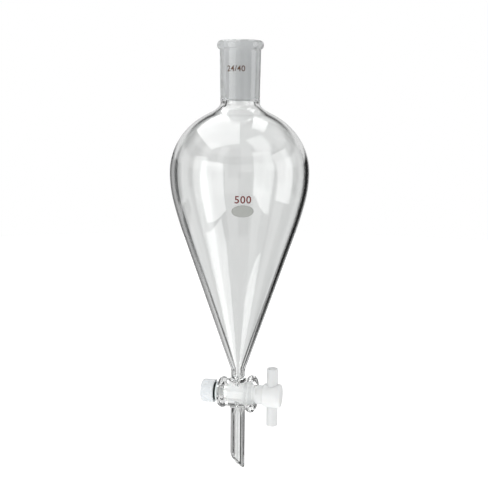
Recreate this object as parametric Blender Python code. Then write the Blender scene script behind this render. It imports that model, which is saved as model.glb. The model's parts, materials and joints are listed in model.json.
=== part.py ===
"""Pear-shaped separatory funnel with a 24/40 ground socket and a PTFE stopcock.

Metres, +Z up along the funnel. The origin is on the funnel's axis in the plane where the cone
sits in a 76 mm support ring. The stopcock's barrel lies along X, with its handle at +X and its
tension nut at -X. The plug is at rest open, with its bore and its cross bar upright.
"""

import math

import bmesh
import bpy
from mathutils import Matrix, Vector

MM = 0.001

# Clearances
SEAM_GAP = 0.3 * MM
RUN_GAP = 0.25 * MM

# How far a guide body reaches past what it cuts
OVERCUT = 1.5 * MM

# Bulb: a crown that is half an ellipsoid, a belly of two arcs, and a straight cone to the outlet
BULB_R = 49.75 * MM
WALL = 2.7 * MM
EQUATOR_Z = 51.0 * MM
CROWN_H = 46.4 * MM
BELLY_R = 88.0 * MM
BELLY_ANGLE = math.radians(14.4)
SUPPORT_R = 38.0 * MM
CONE_ANGLE = math.radians(19.0)
TUBE_R = 5.35 * MM
OUTLET_BORE_R = 2.8 * MM
OUTLET_FILLET_R = 5.0 * MM

# Neck and 24/40 ground socket: 24 mm wide at the top, taper 1:10 over 40 mm
RIM_Z = 142.8 * MM
GROUND_LENGTH = 40.0 * MM
GROUND_TOP_R = 12.0 * MM
GROUND_TAPER = 0.05
SOCKET_TOP_R = 14.45 * MM
NECK_R = 13.85 * MM
NECK_BORE_R = 11.1 * MM
NECK_STEP = 1.4 * MM
NECK_SEAM_Z = 100.0 * MM
CROWN_BLEND = math.radians(64.0)
RIM_R = 16.35 * MM
RIM_FLAT_R = 14.0 * MM
RIM_HALF_H = 2.8 * MM
RIM_HEIGHT = 5.6 * MM
MOUTH_BEVEL = 0.4 * MM

# Stopcock barrel, about X. Its bore has the standard 1:5 stopcock taper
STOPCOCK_Z = -113.5 * MM
BARREL_HALF = 13.9 * MM
BORE_MID_R = 4.85 * MM
BORE_TAPER = 0.1
BARREL_NUT_R = 10.1 * MM
BARREL_HANDLE_R = 10.7 * MM
NUT_BEAD_R = 11.5 * MM
NUT_BEAD_HALF = 2.7 * MM
HANDLE_BEAD_R = 13.75 * MM
HANDLE_BEAD_HALF = 3.6 * MM
ARM_SEAM_UP = 14.0 * MM
ARM_SEAM_DOWN = 18.0 * MM
PORT_R = 1.5 * MM
PORT_NARROW = 11.1 * MM
PORT_WIDE_UP = 13.5 * MM
PORT_WIDE_DOWN = 16.5 * MM

# Drip stem, cut off at a slant
TIP_Z = -173.6 * MM
TIP_BEVEL = math.radians(44.0)
TIP_TURN = math.radians(20.0)

# Plug, along X: threaded stud, taper, shoulder, hub
STUD_END_X = -26.7 * MM
STUD_R = 3.1 * MM
STUD_FLAT = 2.6 * MM
STUD_CHAMFER = 0.5 * MM
TAPER_START_X = -12.9 * MM
SHOULDER_X = 14.4 * MM
SHOULDER_R = 7.1 * MM
SHOULDER_CHAMFER = 0.3 * MM
HUB_X = 19.3 * MM
HUB_END_X = 32.8 * MM
HUB_NECK_R = 8.6 * MM
HUB_R = 8.9 * MM
HUB_ROUND = 1.5 * MM

# Cross bar through the hub, a little longer below it than above
BAR_X = 26.1 * MM
BAR_R = 4.15 * MM
BAR_HALF = 21.9 * MM
BAR_DROP = 1.0 * MM
BAR_CHAMFER = 0.6 * MM

# Washer, O-ring and nut on the stud, from the barrel outwards
WASHER_R = 7.15 * MM
WASHER_T = 1.9 * MM
WASHER_CHAMFER = 0.3 * MM
WASHER_X = -BARREL_HALF - SEAM_GAP - WASHER_T
RING_WIRE_R = 1.2 * MM
RING_R = 5.3 * MM
RING_GAP = 0.15 * MM
RING_X = WASHER_X - RING_GAP - RING_WIRE_R
NUT_FACE_X = -17.6 * MM
NUT_LENGTH = 9.6 * MM
NUT_R = 9.05 * MM
NUT_SIDES = 8
NUT_CLOCK = math.radians(9.0)
NUT_ROUND = 2.2 * MM
NUT_RECESS = 1.2 * MM
NUT_RECESS_R = 6.8 * MM
NUT_FACE_CHAMFER = 0.5 * MM

# Facets in a full turn
BULB_STEPS = 48
TUBE_STEPS = 32
BARREL_STEPS = 40
RING_STEPS = 32


# ---------------------------------------------------------------- outlines


def arc(centre, radii, start, end, count):
    """Points on an ellipse about centre, from angle start to angle end, both included."""
    angles = [start + (end - start) * i / count for i in range(count + 1)]
    return [(centre[0] + radii[0] * math.cos(a), centre[1] + radii[1] * math.sin(a)) for a in angles]


def blend(start, corner, end, count):
    """Points on a quadratic curve that leaves start towards corner and arrives at end."""
    points = []
    for i in range(count + 1):
        t = i / count
        weights = ((1 - t) ** 2, 2 * t * (1 - t), t**2)
        points.append(
            tuple(sum(w * p[k] for w, p in zip(weights, (start, corner, end))) for k in (0, 1))
        )
    return points


def fillet(start, corner, end, radius, count):
    """Points of a round of this radius where the lines start-corner and corner-end meet."""
    into = (Vector(corner) - Vector(start)).normalized()
    out = (Vector(end) - Vector(corner)).normalized()
    half_turn = into.angle(out) / 2
    reach = radius * math.tan(half_turn)
    first = Vector(corner) - into * reach
    last = Vector(corner) + out * reach
    return blend(tuple(first), tuple(corner), tuple(last), count)


def cone_radius(z, offset=0.0):
    """The cone's radius at height z, on a surface this far inside the outer one."""
    return SUPPORT_R + math.tan(CONE_ANGLE) * z - offset / math.cos(CONE_ANGLE)


def pear_side(offset, neck_r, bore_r):
    """One side of the bulb, from the neck down to the outlet, this far inside the outer side."""
    crown = (BULB_R - offset, CROWN_H - offset)
    shoulder = arc((0.0, EQUATOR_Z), crown, CROWN_BLEND, 0.0, 9)
    slope = crown[1] / crown[0] / math.tan(CROWN_BLEND)
    neck_corner = (neck_r, shoulder[0][1] + (shoulder[0][0] - neck_r) * slope)
    neck = blend((neck_r, NECK_SEAM_Z - SEAM_GAP / 2), neck_corner, shoulder[0], 4)

    belly = belly_side(offset)
    outlet_z = (bore_r - cone_radius(0.0, offset)) / math.tan(CONE_ANGLE)
    outlet_end = (bore_r, STOPCOCK_Z + ARM_SEAM_UP + SEAM_GAP / 2)
    outlet = fillet(belly[-1], (bore_r, outlet_z), outlet_end, OUTLET_FILLET_R, 3)
    return neck[:-1] + shoulder[:-1] + belly + outlet + [outlet_end]


def belly_side(offset):
    """Two arcs from the equator down to the cone: a tighter one, then one tangent to the cone."""
    centre = (BULB_R - BELLY_R, EQUATOR_Z)
    upper = arc(centre, (BELLY_R - offset,) * 2, 0.0, -BELLY_ANGLE, 4)
    meet_r = centre[0] + BELLY_R * math.cos(BELLY_ANGLE)
    meet_z = centre[1] - BELLY_R * math.sin(BELLY_ANGLE)
    fall = math.sin(CONE_ANGLE) - math.sin(BELLY_ANGLE)
    draw_in = math.cos(BELLY_ANGLE) - math.cos(CONE_ANGLE)
    lower_r = (cone_radius(meet_z) - meet_r) / (math.tan(CONE_ANGLE) * fall - draw_in)
    lower_centre = (
        meet_r - lower_r * math.cos(BELLY_ANGLE),
        meet_z + lower_r * math.sin(BELLY_ANGLE),
    )
    lower = arc(lower_centre, (lower_r - offset,) * 2, -BELLY_ANGLE, -CONE_ANGLE, 2)
    return upper[:-1] + lower


def bore_radius(x):
    """The barrel's bore at x."""
    return BORE_MID_R + BORE_TAPER * x


# ---------------------------------------------------------------- mesh helpers


def clear_scene():
    for old in list(bpy.data.objects):
        bpy.data.objects.remove(old, do_unlink=True)


def make_material(name, color, roughness, transmission=0.0):
    material = bpy.data.materials.new(name)
    material.use_nodes = True
    shader = material.node_tree.nodes["Principled BSDF"]
    shader.inputs["Base Color"].default_value = (*color, 1.0)
    shader.inputs["Roughness"].default_value = roughness
    shader.inputs["Metallic"].default_value = 0.0
    shader.inputs["Transmission Weight"].default_value = transmission
    return material


def new_object(name, bm, location, material):
    """Links a bmesh as an object with round parts shaded smooth."""
    bmesh.ops.remove_doubles(bm, verts=bm.verts, dist=1e-6)
    bmesh.ops.recalc_face_normals(bm, faces=bm.faces)
    mesh = bpy.data.meshes.new(name)
    bm.to_mesh(mesh)
    bm.free()
    mesh.shade_smooth()
    mesh.set_sharp_from_angle(angle=math.radians(35.0))
    obj = bpy.data.objects.new(name, mesh)
    obj.location = location
    if material:
        mesh.materials.append(material)
    bpy.context.scene.collection.objects.link(obj)
    return obj


def turned(name, outline, along, steps, location, material):
    """Spins a closed outline of (radius, distance along the axis) a full turn about that axis."""
    bm = bmesh.new()
    places = {"Z": lambda r, d: (r, 0.0, d), "X": lambda r, d: (d, 0.0, r)}[along]
    verts = [bm.verts.new(places(r, d)) for r, d in outline]
    on_axis = [r < 1e-9 for r, _ in outline]
    for i in range(len(verts)):
        j = (i + 1) % len(verts)
        if not (on_axis[i] and on_axis[j]):
            bm.edges.new((verts[i], verts[j]))
    axis = Vector((1, 0, 0)) if along == "X" else Vector((0, 0, 1))
    bmesh.ops.spin(
        bm,
        geom=bm.verts[:] + bm.edges[:],
        cent=(0, 0, 0),
        axis=axis,
        angle=math.tau,
        steps=steps,
        use_duplicate=False,
    )
    return new_object(name, bm, location, material)


def box(name, low, high, location):
    """A block between two corners."""
    bm = bmesh.new()
    bmesh.ops.create_cube(bm, size=1.0)
    size = Vector(high) - Vector(low)
    middle = (Vector(high) + Vector(low)) / 2
    bmesh.ops.scale(bm, vec=size, verts=bm.verts)
    bmesh.ops.translate(bm, vec=middle, verts=bm.verts)
    return new_object(name, bm, location, None)


def boolean(obj, tool, operation="DIFFERENCE"):
    """Adds an exact Boolean by a tool, which is then only a guide."""
    tool.hide_render = True
    tool.display_type = "WIRE"
    cut = obj.modifiers.new(tool.name, "BOOLEAN")
    cut.operation = operation
    cut.object = tool
    cut.solver = "EXACT"


def pin_tool(name, radius, low, high, along, location, steps=TUBE_STEPS):
    """A plain round guide body about an axis through location."""
    outline = [(0.0, low), (radius, low), (radius, high), (0.0, high)]
    return turned(name, outline, along, steps, location, None)


# ---------------------------------------------------------------- glass


def ground_joint(material):
    """The socket: rolled rim, tapered tube, and the ground bore that stands in from the neck."""
    top = RIM_Z
    bead_low = top - RIM_HEIGHT
    rim = arc((RIM_FLAT_R, top - RIM_HALF_H), (RIM_R - RIM_FLAT_R, RIM_HALF_H), math.pi / 2, 0, 4)
    under = blend((RIM_R, top - RIM_HALF_H), (RIM_R, bead_low), (SOCKET_TOP_R, bead_low), 4)
    seam = NECK_SEAM_Z + SEAM_GAP / 2
    ground_end_r = GROUND_TOP_R - GROUND_TAPER * GROUND_LENGTH
    bore = [
        (NECK_BORE_R, seam),
        (NECK_BORE_R, top - GROUND_LENGTH - NECK_STEP),
        (ground_end_r, top - GROUND_LENGTH),
        (GROUND_TOP_R, top - MOUTH_BEVEL),
        (GROUND_TOP_R + MOUTH_BEVEL, top),
    ]
    outline = rim[:-1] + under + [(NECK_R, seam)] + bore
    return turned("ground_joint", outline, "Z", BULB_STEPS, (0, 0, 0), material)


def pear_bulb(material):
    """The bulb from the neck to the outlet tube, hollow all the way through."""
    outside = pear_side(0.0, NECK_R, TUBE_R)
    inside = pear_side(WALL, NECK_BORE_R, OUTLET_BORE_R)
    return turned("pear_bulb", outside + inside[::-1], "Z", BULB_STEPS, (0, 0, 0), material)


def barrel_outline():
    """Half a lengthwise section of the barrel, with a rounded bead at each end."""
    nut_x = -BARREL_HALF + NUT_BEAD_HALF
    handle_x = BARREL_HALF - HANDLE_BEAD_HALF
    nut_bead = arc((nut_x, BARREL_NUT_R), (-NUT_BEAD_HALF, NUT_BEAD_R - BARREL_NUT_R), 0, math.pi, 7)
    handle_rise = HANDLE_BEAD_R - BARREL_HANDLE_R
    handle_bead = arc(
        (handle_x, BARREL_HANDLE_R), (-HANDLE_BEAD_HALF, handle_rise), 0, math.pi, 8
    )
    axis = [(BARREL_HALF, 0.0), (-BARREL_HALF, 0.0)]
    return [(r, x) for x, r in nut_bead + handle_bead + axis]


def port_outline():
    """The flow passage through the barrel's arms: narrow at the plug, as wide as the tubes outside."""
    up = ARM_SEAM_UP + OVERCUT
    down = -ARM_SEAM_DOWN - OVERCUT
    return [
        (0.0, down),
        (OUTLET_BORE_R, down),
        (OUTLET_BORE_R, -PORT_WIDE_DOWN),
        (PORT_R, -PORT_NARROW),
        (PORT_R, PORT_NARROW),
        (OUTLET_BORE_R, PORT_WIDE_UP),
        (OUTLET_BORE_R, up),
        (0.0, up),
    ]


def stopcock_barrel(material, at):
    """The tapered cross barrel with a short arm above and below, and the flow passage."""
    barrel = turned("stopcock_barrel", barrel_outline(), "X", BARREL_STEPS, at, material)
    upper = ARM_SEAM_UP - SEAM_GAP / 2
    lower = -ARM_SEAM_DOWN + SEAM_GAP / 2
    boolean(barrel, pin_tool("guide_arms", TUBE_R, lower, upper, "Z", at), "UNION")
    reach = BARREL_HALF + OVERCUT
    taper = [(0.0, -reach), (bore_radius(-reach), -reach), (bore_radius(reach), reach), (0.0, reach)]
    boolean(barrel, turned("guide_taper", taper, "X", BARREL_STEPS, at, None))
    boolean(barrel, turned("guide_port", port_outline(), "Z", TUBE_STEPS, at, None))
    return barrel


def drip_stem(material):
    """The outlet stem below the stopcock, cut off at a slant with its long side at +X."""
    top = STOPCOCK_Z - ARM_SEAM_DOWN - SEAM_GAP / 2
    low = TIP_Z - OVERCUT
    outline = [(TUBE_R, top), (TUBE_R, low), (OUTLET_BORE_R, low), (OUTLET_BORE_R, top)]
    stem = turned("drip_stem", outline, "Z", TUBE_STEPS, (0, 0, 0), material)
    reach = 4 * TUBE_R
    knife = box("guide_bevel", (-reach, -reach, -reach), (reach, reach, 0.0), (0, 0, 0))
    turn = Matrix.Rotation(TIP_TURN, 4, "Z") @ Matrix.Rotation(TIP_BEVEL, 4, "Y")
    tip = Matrix.Rotation(TIP_TURN, 4, "Z") @ Vector((TUBE_R, 0, TIP_Z))
    knife.matrix_world = Matrix.Translation(tip) @ turn
    boolean(stem, knife)
    return stem


# ---------------------------------------------------------------- stopcock fittings


def stopcock_plug(material, at):
    """The PTFE plug: stud with two flats, taper with the flow bore, shoulder and hub."""
    taper_end = SHOULDER_X - RUN_GAP
    hub_x = HUB_END_X - HUB_ROUND
    near_centre = (HUB_X + HUB_ROUND, HUB_NECK_R - HUB_ROUND)
    near_round = arc(near_centre, (-HUB_ROUND, HUB_ROUND), 0, math.pi / 2, 4)
    far_round = arc((hub_x, HUB_R - HUB_ROUND), (HUB_ROUND, HUB_ROUND), math.pi / 2, 0, 4)
    side = [
        (STUD_END_X, 0.0),
        (STUD_END_X, STUD_R - STUD_CHAMFER),
        (STUD_END_X + STUD_CHAMFER, STUD_R),
        (TAPER_START_X, STUD_R),
        (TAPER_START_X, bore_radius(TAPER_START_X) - RUN_GAP),
        (taper_end, bore_radius(taper_end) - RUN_GAP),
        (SHOULDER_X, SHOULDER_R - SHOULDER_CHAMFER),
        (SHOULDER_X + SHOULDER_CHAMFER, SHOULDER_R),
        (HUB_X, SHOULDER_R),
    ]
    side += [p for p in near_round if p[1] > SHOULDER_R] + far_round + [(HUB_END_X, 0.0)]
    plug = turned("stopcock_plug", [(r, x) for x, r in side], "X", BARREL_STEPS, at, material)

    reach = HUB_R + OVERCUT
    boolean(plug, pin_tool("guide_flow", PORT_R, -reach, reach, "Z", at))
    bar_at = Vector(at) + Vector((BAR_X, 0, 0))
    boolean(plug, pin_tool("guide_bar_hole", BAR_R + RUN_GAP, -reach, reach, "Z", bar_at))
    flat_end = -BARREL_HALF
    for sign, name in ((1, "guide_flat_up"), (-1, "guide_flat_down")):
        edges = sorted((sign * STUD_FLAT, sign * reach))
        low = (STUD_END_X - reach, -reach, edges[0])
        boolean(plug, box(name, low, (flat_end, reach, edges[1]), at))
    return plug


def handle_bar(material, at):
    """The round cross bar that the hand turns, through the hub. Its origin is on the plug's axis."""
    low = -BAR_HALF - BAR_DROP
    high = BAR_HALF - BAR_DROP
    outline = [
        (0.0, low),
        (BAR_R - BAR_CHAMFER, low),
        (BAR_R, low + BAR_CHAMFER),
        (BAR_R, high - BAR_CHAMFER),
        (BAR_R - BAR_CHAMFER, high),
        (0.0, high),
    ]
    bar = turned("handle_bar", outline, "Z", TUBE_STEPS, at, material)
    bar.data.transform(Matrix.Translation((BAR_X, 0, 0)))
    return bar


def thrust_washer(material, at):
    """The washer between barrel and O-ring. Its hole has the stud's two flats, so it turns with it."""
    edge = WASHER_CHAMFER
    outer_x = WASHER_X + WASHER_T
    outline = [
        (0.0, WASHER_X),
        (WASHER_R - edge, WASHER_X),
        (WASHER_R, WASHER_X + edge),
        (WASHER_R, outer_x - edge),
        (WASHER_R - edge, outer_x),
        (0.0, outer_x),
    ]
    washer = turned("thrust_washer", outline, "X", RING_STEPS, at, material)
    low = WASHER_X - OVERCUT
    high = outer_x + OVERCUT
    hole = pin_tool("guide_washer_hole", STUD_R + RUN_GAP, low, high, "X", at)
    half = STUD_FLAT + RUN_GAP
    wide = 2 * STUD_R
    flats = box("guide_washer_flats", (low - wide, -wide, -half), (high + wide, wide, half), at)
    boolean(hole, flats, "INTERSECT")
    boolean(washer, hole)
    return washer


def o_ring(material, at):
    """The rubber ring that keeps the nut's pull on the plug springy."""
    outline = arc((RING_R, RING_X), (RING_WIRE_R, RING_WIRE_R), 0, math.tau, 12)[:-1]
    return turned("o_ring", outline, "X", RING_STEPS, at, material)


def tension_nut(material, at):
    """The eight-sided nut, rounded at its outer end, with a recess that holds the O-ring."""
    outer_x = NUT_FACE_X - NUT_LENGTH
    flat_r = NUT_R * math.cos(math.pi / NUT_SIDES)
    bm = bmesh.new()
    bmesh.ops.create_cone(
        bm,
        cap_ends=True,
        segments=NUT_SIDES,
        radius1=NUT_R,
        radius2=NUT_R,
        depth=NUT_LENGTH,
    )
    to_x = Matrix.Rotation(math.pi / 2, 4, "Y")
    spin = Matrix.Rotation(NUT_CLOCK + math.pi / 2, 4, "X")
    middle = Matrix.Translation(((NUT_FACE_X + outer_x) / 2, 0, 0))
    bmesh.ops.transform(bm, matrix=middle @ spin @ to_x, verts=bm.verts)
    nut = new_object("tension_nut", bm, at, material)

    round_r = NUT_R + OVERCUT / 100
    crown_centre = (outer_x + NUT_ROUND, round_r - NUT_ROUND)
    crown = arc(crown_centre, (-NUT_ROUND, NUT_ROUND), 0, math.pi / 2, 5)
    face = [
        (NUT_FACE_X - NUT_FACE_CHAMFER, round_r),
        (NUT_FACE_X, flat_r),
        (NUT_FACE_X, 0.0),
    ]
    envelope = [(outer_x, 0.0)] + crown + face
    envelope = [(r, x) for x, r in envelope]
    boolean(nut, turned("guide_nut_envelope", envelope, "X", BARREL_STEPS, at, None), "INTERSECT")
    recess_x = NUT_FACE_X - NUT_RECESS
    hole = [
        (0.0, outer_x - OVERCUT),
        (STUD_R + RUN_GAP, outer_x - OVERCUT),
        (STUD_R + RUN_GAP, recess_x),
        (NUT_RECESS_R, recess_x),
        (NUT_RECESS_R, NUT_FACE_X + OVERCUT),
        (0.0, NUT_FACE_X + OVERCUT),
    ]
    boolean(nut, turned("guide_nut_hole", hole, "X", RING_STEPS, at, None))
    return nut


# ---------------------------------------------------------------- assembly


def assemble():
    clear_scene()
    clear_glass = make_material("clear_glass", (0.93, 0.95, 0.95), 0.02, 1.0)
    ground_glass = make_material("ground_glass", (0.78, 0.79, 0.80), 0.6, 0.8)
    white_ptfe = make_material("white_ptfe", (0.90, 0.91, 0.90), 0.45)
    handle_ptfe = make_material("handle_ptfe", (0.86, 0.87, 0.86), 0.5)
    nut_plastic = make_material("nut_plastic", (0.80, 0.85, 0.88), 0.35)
    washer_ptfe = make_material("washer_ptfe", (0.92, 0.96, 0.96), 0.4)
    black_rubber = make_material("black_rubber", (0.02, 0.03, 0.03), 0.6)

    at = (0.0, 0.0, STOPCOCK_Z)
    ground_joint(ground_glass)
    pear_bulb(clear_glass)
    stopcock_barrel(clear_glass, at)
    drip_stem(clear_glass)
    stopcock_plug(white_ptfe, at)
    handle_bar(handle_ptfe, at)
    thrust_washer(washer_ptfe, at)
    o_ring(black_rubber, at)
    tension_nut(nut_plastic, at)


assemble()
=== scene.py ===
import json
import math

import bmesh
import bpy
import numpy as np
from mathutils import Matrix, Vector


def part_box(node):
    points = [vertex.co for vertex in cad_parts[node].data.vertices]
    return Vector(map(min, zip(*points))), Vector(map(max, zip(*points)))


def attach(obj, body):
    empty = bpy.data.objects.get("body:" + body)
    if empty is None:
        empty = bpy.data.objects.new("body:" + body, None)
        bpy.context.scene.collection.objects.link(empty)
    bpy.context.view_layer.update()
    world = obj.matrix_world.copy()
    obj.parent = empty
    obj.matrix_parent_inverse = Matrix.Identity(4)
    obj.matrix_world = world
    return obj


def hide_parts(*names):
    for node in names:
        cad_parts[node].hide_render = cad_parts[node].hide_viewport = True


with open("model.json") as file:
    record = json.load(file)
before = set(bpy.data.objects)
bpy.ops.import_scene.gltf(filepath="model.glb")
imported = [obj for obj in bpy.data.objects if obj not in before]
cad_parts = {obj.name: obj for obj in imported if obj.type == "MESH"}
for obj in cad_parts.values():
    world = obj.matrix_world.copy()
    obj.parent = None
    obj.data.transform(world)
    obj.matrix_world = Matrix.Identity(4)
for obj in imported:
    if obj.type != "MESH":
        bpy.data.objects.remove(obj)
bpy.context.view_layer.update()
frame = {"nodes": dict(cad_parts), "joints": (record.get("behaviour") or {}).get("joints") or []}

# The looks of a pear-shaped separatory funnel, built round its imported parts.
# The glass is one fused piece: a revolved socket and bulb, joined to a stopcock and stem that are
# meshed from a distance field, so that the tubes run into the barrel with melted fillets.

MM = 0.001

# ---------------------------------------------------------------- places and sizes from the frame

SOCKET_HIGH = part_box("ground_joint")[1]
BULB_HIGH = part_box("pear_bulb")[1]
BARREL_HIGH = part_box("stopcock_barrel")[1]
STEM_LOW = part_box("drip_stem")[0]
PLUG_LOW, PLUG_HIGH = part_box("stopcock_plug")
BAR_LOW, BAR_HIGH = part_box("handle_bar")
WASHER_LOW, WASHER_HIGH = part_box("thrust_washer")
RING_LOW, RING_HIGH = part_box("o_ring")
NUT_LOW, NUT_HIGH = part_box("tension_nut")

JOINTS = {joint["name"]: joint for joint in frame["joints"]}
STOPCOCK = Vector(JOINTS["plug_turn"]["pos_m"])

# Glass, in metres
WALL = 2.7 * MM
BULB_R = BULB_HIGH.x
EQUATOR_Z = 51.0 * MM
CROWN_H = 46.4 * MM
BELLY_R = 88.0 * MM
BELLY_ANGLE = math.radians(14.4)
SUPPORT_R = 38.0 * MM
CONE_ANGLE = math.radians(19.0)
CROWN_BLEND = math.radians(64.0)
TUBE_R = 5.35 * MM
OUTLET_BORE_R = 2.8 * MM
OUTLET_FILLET_R = 5.0 * MM
RIM_Z = SOCKET_HIGH.z
RIM_R = SOCKET_HIGH.x
RIM_FLAT_R = 14.0 * MM
RIM_HALF_H = 2.8 * MM
RIM_HEIGHT = 5.6 * MM
GROUND_LENGTH = 40.0 * MM
GROUND_TOP_R = 12.0 * MM
GROUND_TAPER = 0.05
SOCKET_TOP_R = 14.45 * MM
NECK_R = 13.85 * MM
NECK_BORE_R = 11.1 * MM
NECK_STEP = 1.4 * MM
NECK_SEAM_Z = 100.0 * MM
MOUTH_ROUND = 0.45 * MM
STEP_ROUND = 1.2 * MM
GLASS_STEPS = 176
STRETCH = 2.2 * MM

# Stopcock barrel and stem, in millimetres about the plug's axis
BARREL_HALF = BARREL_HIGH.x / MM
BORE_MID_R = 4.85
BORE_TAPER = 0.1
BARREL_NUT_R = 10.1
BARREL_HANDLE_R = 10.7
NUT_BEAD_R = 11.5
NUT_BEAD_HALF = 2.7
HANDLE_BEAD_R = BARREL_HIGH.y / MM
HANDLE_BEAD_HALF = 3.6
PORT_R = 1.5
PORT_NARROW = 11.1
PORT_WIDE_UP = 13.5
PORT_WIDE_DOWN = 16.5
TIP_BEVEL = math.radians(44.0)
TIP_TURN = math.radians(20.0)
TIP_DROP = (STOPCOCK.z - STEM_LOW.z) / MM
FIELD_TOP = 14.4
FIELD_STEP = 0.36
FIELD_MARGIN = 0.8
BEAD_BLEND = 0.9
TUBE_BLEND = 2.6
BORE_BLEND = 0.5
EDGE_BLEND = 0.9
TIP_BLEND = 2.4

# Fittings, in millimetres about the plug's axis
THREAD_PITCH = 1.5
THREAD_DEPTH = 0.42
THREAD_CLEARANCE = 0.12
STUD_R = 3.1
STUD_FLAT = 2.6
TAPER_START = -12.9
SHOULDER_START = 14.4
SHOULDER_R = 7.1
HUB_START = 19.3
HUB_NECK_R = 8.6
HUB_R = 8.9
HUB_ROUND = 1.7
RUN_GAP = 0.25
# The plug is pressed into the glass, so its taper is drawn this much larger than the bore. With a
# gap of air there, the glass would reflect and hide the plug.
SEATED = 0.02


# ---------------------------------------------------------------- outlines


def arc(centre, radii, start, end, count):
    """Points on an ellipse about centre, from angle start to angle end, both included."""
    angles = np.linspace(start, end, count + 1)
    return [(centre[0] + radii[0] * math.cos(a), centre[1] + radii[1] * math.sin(a)) for a in angles]


def blend(start, corner, end, count):
    """Points on a quadratic curve that leaves start towards corner and arrives at end."""
    start, corner, end = (np.array(p) for p in (start, corner, end))
    steps = np.linspace(0.0, 1.0, count + 1)
    return [tuple((1 - t) ** 2 * start + 2 * t * (1 - t) * corner + t * t * end) for t in steps]


def rounded(start, corner, end, radius, count):
    """Points of a round of this radius where the lines start-corner and corner-end meet."""
    into = (Vector(corner) - Vector(start)).normalized()
    out = (Vector(end) - Vector(corner)).normalized()
    reach = radius * math.tan(into.angle(out) / 2)
    return blend(tuple(Vector(corner) - into * reach), corner, tuple(Vector(corner) + out * reach), count)


def stretched(points, longest):
    """The same outline with its long straight stretches cut into shorter ones."""
    filled = [points[0]]
    for start, end in zip(points, points[1:]):
        count = max(1, math.ceil(math.dist(start, end) / longest))
        for i in range(1, count + 1):
            t = i / count
            filled.append((start[0] + (end[0] - start[0]) * t, start[1] + (end[1] - start[1]) * t))
    return filled


def cone_radius(z, offset=0.0):
    return SUPPORT_R + math.tan(CONE_ANGLE) * z - offset / math.cos(CONE_ANGLE)


def pear_side(offset, neck_r, bore_r, low_z):
    """One side of the bulb, from the neck down to the outlet, this far inside the outer side."""
    crown = (BULB_R - offset, CROWN_H - offset)
    shoulder = arc((0.0, EQUATOR_Z), crown, CROWN_BLEND, 0.0, 44)
    slope = crown[1] / crown[0] / math.tan(CROWN_BLEND)
    neck_corner = (neck_r, shoulder[0][1] + (shoulder[0][0] - neck_r) * slope)
    neck = blend((neck_r, NECK_SEAM_Z), neck_corner, shoulder[0], 12)
    belly = belly_side(offset)
    outlet_z = (bore_r - cone_radius(0.0, offset)) / math.tan(CONE_ANGLE)
    outlet = rounded(belly[-1], (bore_r, outlet_z), (bore_r, low_z), OUTLET_FILLET_R, 10)
    return neck[:-1] + shoulder[:-1] + belly + outlet + [(bore_r, low_z)]


def belly_side(offset):
    """Two arcs from the equator down to the cone: a tighter one, then one tangent to the cone."""
    centre = (BULB_R - BELLY_R, EQUATOR_Z)
    upper = arc(centre, (BELLY_R - offset,) * 2, 0.0, -BELLY_ANGLE, 12)
    meet_r = centre[0] + BELLY_R * math.cos(BELLY_ANGLE)
    meet_z = centre[1] - BELLY_R * math.sin(BELLY_ANGLE)
    fall = math.sin(CONE_ANGLE) - math.sin(BELLY_ANGLE)
    draw_in = math.cos(BELLY_ANGLE) - math.cos(CONE_ANGLE)
    lower_r = (cone_radius(meet_z) - meet_r) / (math.tan(CONE_ANGLE) * fall - draw_in)
    lower_centre = (meet_r - lower_r * math.cos(BELLY_ANGLE), meet_z + lower_r * math.sin(BELLY_ANGLE))
    lower = arc(lower_centre, (lower_r - offset,) * 2, -BELLY_ANGLE, -CONE_ANGLE, 10)
    return upper[:-1] + lower


def glass_outside(low_z):
    """The outer outline from the mouth down to low_z."""
    top = RIM_Z
    bead_low = top - RIM_HEIGHT
    bead = arc((RIM_FLAT_R, top - RIM_HALF_H), (RIM_R - RIM_FLAT_R, RIM_HALF_H), math.pi / 2, 0, 14)
    under = blend((RIM_R, top - RIM_HALF_H), (RIM_R, bead_low), (SOCKET_TOP_R, bead_low - 0.4 * MM), 12)
    return bead[:-1] + under + pear_side(0.0, NECK_R, TUBE_R, low_z)


def glass_inside(low_z):
    """The inner outline down to low_z: rounded mouth, ground taper, step into the neck, and bore."""
    top = RIM_Z
    ground_end = (GROUND_TOP_R - GROUND_TAPER * GROUND_LENGTH, top - GROUND_LENGTH)
    mouth_corner = (GROUND_TOP_R, top)
    mouth = rounded((RIM_FLAT_R, top), mouth_corner, ground_end, MOUTH_ROUND, 6)
    step_low = (NECK_BORE_R, ground_end[1] - NECK_STEP)
    step = rounded(ground_end, step_low, (NECK_BORE_R, NECK_SEAM_Z), STEP_ROUND, 6)
    return mouth + [ground_end] + step + pear_side(WALL, NECK_BORE_R, OUTLET_BORE_R, low_z)


OUTSIDE = np.array(sorted((z, r) for r, z in glass_outside(BARREL_HIGH.z)))


def outer_radius(z):
    """The glass's outer radius at height z, above the stopcock."""
    return float(np.interp(z, OUTSIDE[:, 0], OUTSIDE[:, 1]))


# ---------------------------------------------------------------- stopcock field, in millimetres


def smooth_min(a, b, width):
    share = np.clip(0.5 + 0.5 * (b - a) / width, 0.0, 1.0)
    return b + (a - b) * share - width * share * (1.0 - share)


def smooth_max(a, b, width):
    return -smooth_min(-a, -b, width)


def bore_radius(x):
    return BORE_MID_R + BORE_TAPER * x


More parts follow.
